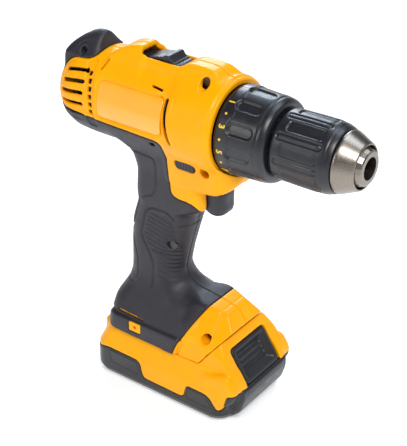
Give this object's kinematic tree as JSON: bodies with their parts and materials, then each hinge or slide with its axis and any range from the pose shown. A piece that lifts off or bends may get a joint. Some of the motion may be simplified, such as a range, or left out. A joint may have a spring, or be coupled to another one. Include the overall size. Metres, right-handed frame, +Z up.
{
  "type": "cordless drill",
  "caption": "Pistol-grip cordless drill driver with keyless chuck, torque collar, two-speed planetary gearbox, trigger switch and slide-on battery pack.",
  "frame": {"origin": "on the ground under the middle of the battery base", "axes": "+X towards the chuck, +Y to the left side of the tool, +Z up"},
  "size_m": [0.2221, 0.073, 0.2406],
  "materials": {
    "yellow_plastic": "satin golden yellow glass-filled nylon",
    "soft_grip": "matte charcoal soft overmould",
    "trigger_plastic": "satin charcoal",
    "black_plastic": "satin black",
    "collar_plastic": "satin near-black",
    "tray_plastic": "matte charcoal",
    "latch_plastic": "satin near-black",
    "nose_steel": "turned steel",
    "bright_steel": "machined",
    "dark_steel": "blackened",
    "brass": "machined",
    "clear_lens": "clear",
    "circuit_board": "solder mask",
    "cell_wrap": "shrink wrap"
  },
  "bodies": {
    "tool_body": {"housing_right": "yellow_plastic", "grip_right": "soft_grip", "housing_left": "yellow_plastic", "grip_left": "soft_grip", "rear_bumper": "soft_grip", "screw_rear": "dark_steel", "screw_ridge_front": "dark_steel", "screw_nose": "dark_steel", "screw_handle": "dark_steel", "screw_foot": "dark_steel", "switch_module": "black_plastic", "trigger_spring": "bright_steel", "work_light_lens": "clear_lens", "ring_gear_2": "bright_steel", "gearbox_housing": "black_plastic", "gearbox_cover": "black_plastic", "clutch_plate": "bright_steel", "clutch_spring": "dark_steel", "bearing_rear": "bright_steel", "bearing_front": "bright_steel", "collar_retainer": "dark_steel", "motor_can": "bright_steel", "magnet_ring": "dark_steel", "motor_end_bell": "black_plastic", "terminal_block": "black_plastic"},
    "speed_selector": {"selector_slide": "black_plastic"},
    "shift_ring": {"ring_gear_1": "bright_steel", "shift_wire": "bright_steel"},
    "reversing_bar": {"forward_reverse_button": "black_plastic"},
    "trigger_body": {"trigger": "trigger_plastic"},
    "motor_rotor": {"rotor": "dark_steel", "cooling_fan": "black_plastic"},
    "first_carrier": {"carrier_1": "dark_steel"},
    "output_spindle": {"carrier_2": "dark_steel", "spindle": "bright_steel", "chuck_body": "nose_steel", "chuck_screw": "dark_steel"},
    "chuck_sleeve_body": {"chuck_sleeve": "collar_plastic", "chuck_nut": "brass", "chuck_front_cone": "nose_steel"},
    "jaw_1": {"chuck_jaw_1": "dark_steel"},
    "jaw_2": {"chuck_jaw_2": "dark_steel"},
    "jaw_3": {"chuck_jaw_3": "dark_steel"},
    "torque_collar": {"torque_ring": "collar_plastic"},
    "clutch_nut_body": {"clutch_nut": "black_plastic"},
    "battery_pack": {"battery_tray": "tray_plastic", "battery_cover": "yellow_plastic", "battery_rail": "black_plastic", "cell_pack": "cell_wrap", "cell_holder": "black_plastic", "battery_board": "circuit_board", "latch_spring": "bright_steel"},
    "battery_latch": {"battery_latch_button": "latch_plastic"},
    "planet_1_1_body": {"planet_1_1": "bright_steel"},
    "planet_1_2_body": {"planet_1_2": "bright_steel"},
    "planet_1_3_body": {"planet_1_3": "bright_steel"},
    "planet_2_1_body": {"planet_2_1": "bright_steel"},
    "planet_2_2_body": {"planet_2_2": "bright_steel"},
    "planet_2_3_body": {"planet_2_3": "bright_steel"}
  },
  "joints": [
    {"name": "motor_spin", "type": "hinge", "parent": "tool_body", "child": "motor_rotor", "pos_m": [0, 0, 0.2014], "axis": [1, 0, 0], "continuous": true},
    {"name": "first_carrier_spin", "type": "hinge", "parent": "tool_body", "child": "first_carrier", "pos_m": [0, 0, 0.2014], "axis": [1, 0, 0], "continuous": true},
    {"name": "chuck_spin", "type": "hinge", "parent": "tool_body", "child": "output_spindle", "pos_m": [0, 0, 0.2014], "axis": [1, 0, 0], "continuous": true},
    {"name": "planet_1_1_spin", "type": "hinge", "parent": "first_carrier", "child": "planet_1_1_body", "pos_m": [0.01, 0.0135, 0.2014], "axis": [1, 0, 0], "continuous": true},
    {"name": "planet_1_2_spin", "type": "hinge", "parent": "first_carrier", "child": "planet_1_2_body", "pos_m": [0.01, -0.00675, 0.21309], "axis": [1, 0, 0], "continuous": true},
    {"name": "planet_1_3_spin", "type": "hinge", "parent": "first_carrier", "child": "planet_1_3_body", "pos_m": [0.01, -0.00675, 0.18971], "axis": [1, 0, 0], "continuous": true},
    {"name": "planet_2_1_spin", "type": "hinge", "parent": "output_spindle", "child": "planet_2_1_body", "pos_m": [0.01, 0.0135, 0.2014], "axis": [1, 0, 0], "continuous": true},
    {"name": "planet_2_2_spin", "type": "hinge", "parent": "output_spindle", "child": "planet_2_2_body", "pos_m": [0.01, -0.00675, 0.21309], "axis": [1, 0, 0], "continuous": true},
    {"name": "planet_2_3_spin", "type": "hinge", "parent": "output_spindle", "child": "planet_2_3_body", "pos_m": [0.01, -0.00675, 0.18971], "axis": [1, 0, 0], "continuous": true},
    {"name": "chuck_sleeve_turn", "type": "hinge", "parent": "output_spindle", "child": "chuck_sleeve_body", "pos_m": [0.1, 0, 0.2014], "axis": [1, 0, 0], "range_deg": [-1080, 3600]},
    {"name": "jaw_1_slide", "type": "slide", "parent": "output_spindle", "child": "jaw_1", "axis": [0.9744, 0, -0.225], "range_m": [-0.0062, 0.0205]},
    {"name": "jaw_2_slide", "type": "slide", "parent": "output_spindle", "child": "jaw_2", "axis": [0.9744, 0.1948, 0.1125], "range_m": [-0.0062, 0.0205]},
    {"name": "jaw_3_slide", "type": "slide", "parent": "output_spindle", "child": "jaw_3", "axis": [0.9744, -0.1948, 0.1125], "range_m": [-0.0062, 0.0205]},
    {"name": "torque_collar_turn", "type": "hinge", "parent": "tool_body", "child": "torque_collar", "pos_m": [0.06, 0, 0.2014], "axis": [1, 0, 0], "range_deg": [0, 320]},
    {"name": "clutch_nut_slide", "type": "slide", "parent": "torque_collar", "child": "clutch_nut_body", "axis": [1, 0, 0], "range_m": [0, 0.00501], "deforming": ["clutch_spring"]},
    {"name": "speed_selector_slide", "type": "slide", "parent": "tool_body", "child": "speed_selector", "axis": [1, 0, 0], "range_m": [0, 0.005]},
    {"name": "shift_ring_slide", "type": "slide", "parent": "tool_body", "child": "shift_ring", "axis": [1, 0, 0], "range_m": [0, 0.00401]},
    {"name": "forward_reverse_slide", "type": "slide", "parent": "tool_body", "child": "reversing_bar", "axis": [0, 1, 0], "range_m": [-0.003, 0.003]},
    {"name": "trigger_pull", "type": "slide", "parent": "tool_body", "child": "trigger_body", "axis": [-1, 0, 0], "range_m": [0, 0.007], "stiffness_N_per_m": 900, "springref_m": -0.004, "deforming": ["trigger_spring"]},
    {"name": "battery_slide", "type": "slide", "parent": "tool_body", "child": "battery_pack", "axis": [1, 0, 0], "range_m": [0, 0.09]},
    {"name": "battery_latch_press", "type": "slide", "parent": "battery_pack", "child": "battery_latch", "axis": [-0.8944, 0, -0.4472], "range_m": [0, 0.004], "stiffness_N_per_m": 1500, "springref_m": -0.003, "deforming": ["latch_spring"]}
  ],
  "couplings": [
    {"joint": "first_carrier_spin", "follows": "motor_spin", "ratio": 0.27778},
    {"joint": "chuck_spin", "follows": "motor_spin", "ratio": 0.07716},
    {"joint": "planet_1_1_spin", "follows": "motor_spin", "ratio": -0.90278},
    {"joint": "planet_1_2_spin", "follows": "motor_spin", "ratio": -0.90278},
    {"joint": "planet_1_3_spin", "follows": "motor_spin", "ratio": -0.90278},
    {"joint": "planet_2_1_spin", "follows": "motor_spin", "ratio": -0.25077},
    {"joint": "planet_2_2_spin", "follows": "motor_spin", "ratio": -0.25077},
    {"joint": "planet_2_3_spin", "follows": "motor_spin", "ratio": -0.25077},
    {"joint": "jaw_1_slide", "follows": "chuck_sleeve_turn", "m_per_rad": 0.00032547},
    {"joint": "jaw_2_slide", "follows": "chuck_sleeve_turn", "m_per_rad": 0.00032547},
    {"joint": "jaw_3_slide", "follows": "chuck_sleeve_turn", "m_per_rad": 0.00032547},
    {"joint": "clutch_nut_slide", "follows": "torque_collar_turn", "m_per_rad": 0.00089525},
    {"joint": "shift_ring_slide", "follows": "speed_selector_slide", "ratio": 0.8}
  ]
}
